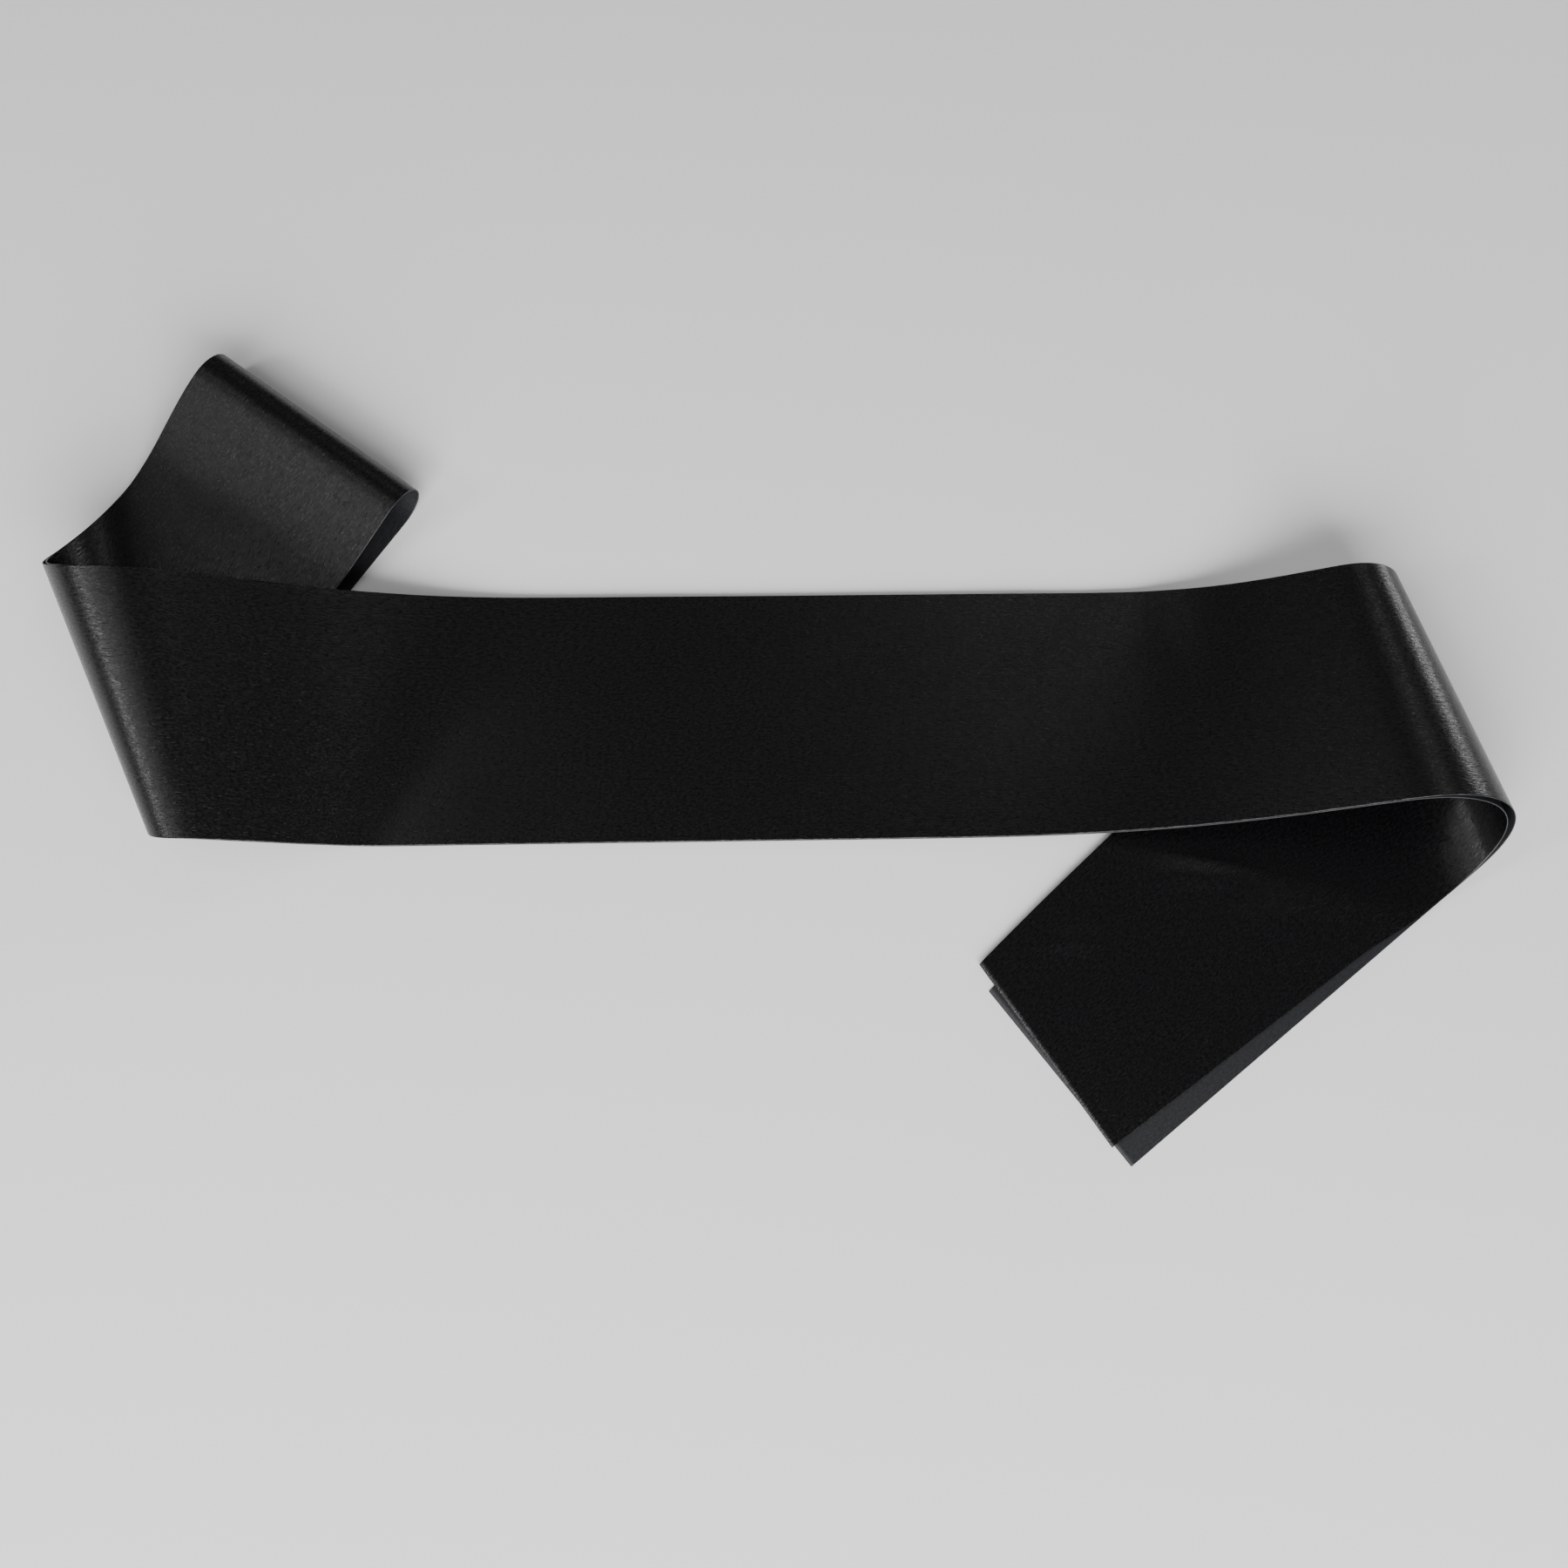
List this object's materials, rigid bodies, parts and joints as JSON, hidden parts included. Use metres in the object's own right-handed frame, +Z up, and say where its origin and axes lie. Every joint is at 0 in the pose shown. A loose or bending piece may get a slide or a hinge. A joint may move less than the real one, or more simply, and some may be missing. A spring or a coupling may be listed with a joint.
{
  "type": "satin sash",
  "caption": "Long narrow satin ribbon sash, folded in half and laid down in a loose flat zigzag with soft rolled turns and a square-cut tail.",
  "frame": {"origin": "middle of the sash's footprint, on the surface that it lies on", "axes": "+X along the front stretch, from the left fold to the right fold; +Y from the tail towards the folded end; +Z up from the surface"},
  "size_m": [0.529, 0.3104, 0.0455],
  "materials": {
    "satin": "black satin, glossy face and softer wrong side"
  },
  "bodies": {
    "root": {"front_over": "satin", "right_fold_outer": "satin", "tail_under": "satin", "left_fold_outer": "satin", "back_under": "satin", "top_fold": "satin", "back_over": "satin", "left_fold_inner": "satin", "front_under": "satin", "right_fold_inner": "satin", "tail_over": "satin"}
  },
  "joints": []
}
